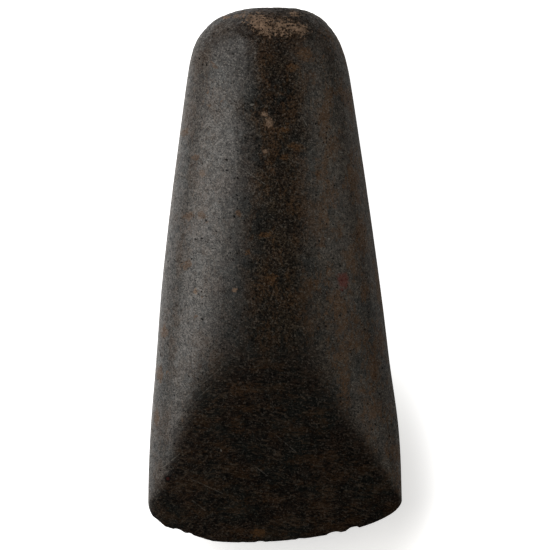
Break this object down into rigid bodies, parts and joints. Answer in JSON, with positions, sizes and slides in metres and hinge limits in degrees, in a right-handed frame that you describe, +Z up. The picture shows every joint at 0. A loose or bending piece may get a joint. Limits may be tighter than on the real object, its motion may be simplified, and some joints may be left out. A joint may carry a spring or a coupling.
{
  "type": "polished stone axe head",
  "caption": "Ground and polished stone axe head with a blunt rounded butt, lens-shaped section, bevelled faces and a curved, lightly chipped cutting edge, lying flat without a haft.",
  "frame": {"origin": "on the surface the axe head lies on, under the middle of its bounding box", "axes": "+Y from the cutting edge to the butt, +Z up out of the front face, +X to the right seen from above"},
  "size_m": [0.0856, 0.18, 0.0393],
  "materials": {
    "stone": "ground and polished dark stone, worn to a satin sheen, with pecking pits, brown soil stain and pale soil crust at the butt"
  },
  "bodies": {
    "root": {"axe_head": "stone"}
  },
  "joints": []
}
